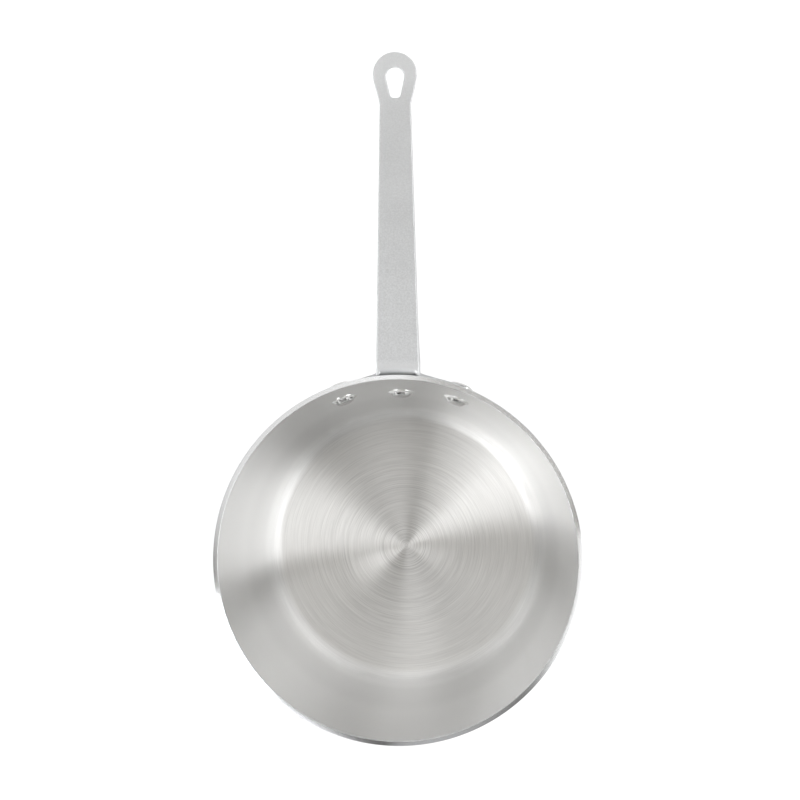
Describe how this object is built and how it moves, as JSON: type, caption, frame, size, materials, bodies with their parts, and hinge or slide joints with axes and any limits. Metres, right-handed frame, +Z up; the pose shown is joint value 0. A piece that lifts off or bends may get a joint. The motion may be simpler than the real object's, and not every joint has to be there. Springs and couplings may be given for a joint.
{
  "type": "saucepan",
  "caption": "Tapered open saucepan with a flat floor and a long channel handle, riveted to its side, that ends in a hanging eye.",
  "frame": {"origin": "middle of the base's underside, on the surface that the pan stands on", "axes": "+Z up along the pan's axis, +Y from the pan's axis along the handle, +X to the right of the handle seen from the pan's front"},
  "size_m": [0.2038, 0.3741, 0.1345],
  "materials": {
    "spun_aluminium": "spun, with fine rings",
    "handle_casting": "matt, fine grain",
    "rivet_metal": "polished by the rivet set"
  },
  "bodies": {
    "root": {"pan_body": "spun_aluminium", "handle": "handle_casting", "rivet_left": "rivet_metal", "rivet_middle": "rivet_metal", "rivet_right": "rivet_metal"}
  },
  "joints": []
}
